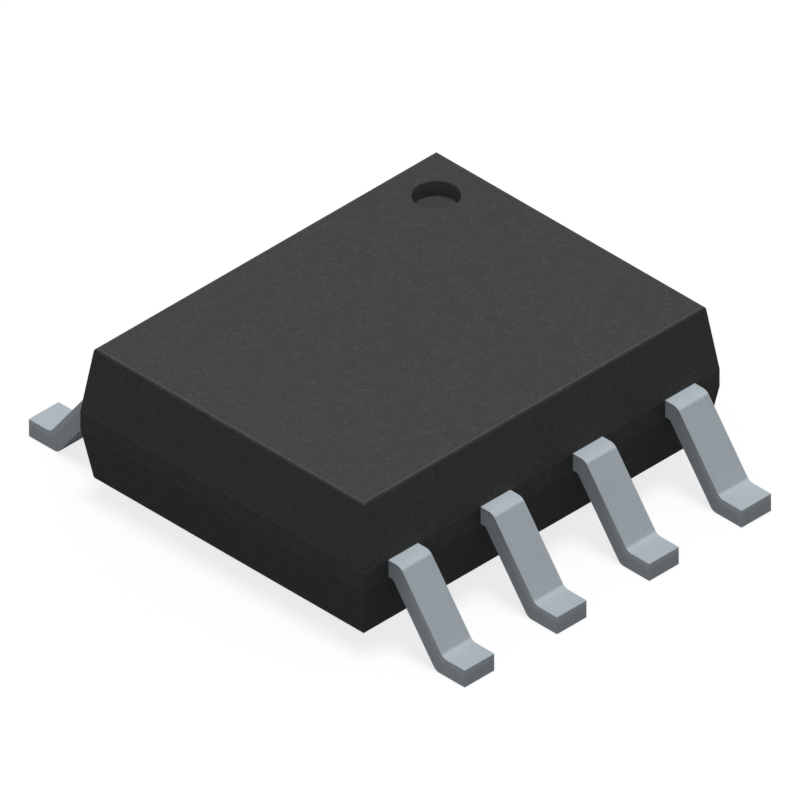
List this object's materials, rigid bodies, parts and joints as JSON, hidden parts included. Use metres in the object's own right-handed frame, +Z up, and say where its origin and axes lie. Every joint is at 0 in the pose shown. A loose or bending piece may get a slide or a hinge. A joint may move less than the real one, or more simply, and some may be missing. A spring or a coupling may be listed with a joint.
{
  "type": "operational amplifier",
  "caption": "Black moulded surface-mount amplifier package with drafted sides, a round corner recess and gull-wing leads along its long sides, with die, paddle and bond wires inside.",
  "frame": {"origin": "centre of the footprint, on the plane that the feet stand on", "axes": "+X across the package from lead 1's row to the other row, +Y along the rows towards lead 1's end, +Z up from the board"},
  "size_m": [0.006, 0.005, 0.0018],
  "materials": {
    "moulding": "matt",
    "tinned_lead": "matt tin",
    "copper_alloy": "rolled copper",
    "adhesive": "silver-filled",
    "silicon": "polished",
    "gold": "drawn gold"
  },
  "bodies": {
    "root": {"moulded_body": "moulding", "lead_1": "tinned_lead", "lead_2": "tinned_lead", "lead_3": "tinned_lead", "lead_4": "tinned_lead", "lead_5": "tinned_lead", "lead_6": "tinned_lead", "lead_7": "tinned_lead", "lead_8": "tinned_lead", "die_paddle": "copper_alloy", "die_attach": "adhesive", "silicon_die": "silicon", "bond_wire_1": "gold", "bond_wire_2": "gold", "bond_wire_3": "gold", "bond_wire_4": "gold", "bond_wire_5": "gold", "bond_wire_6": "gold", "bond_wire_7": "gold", "bond_wire_8": "gold"}
  },
  "joints": []
}
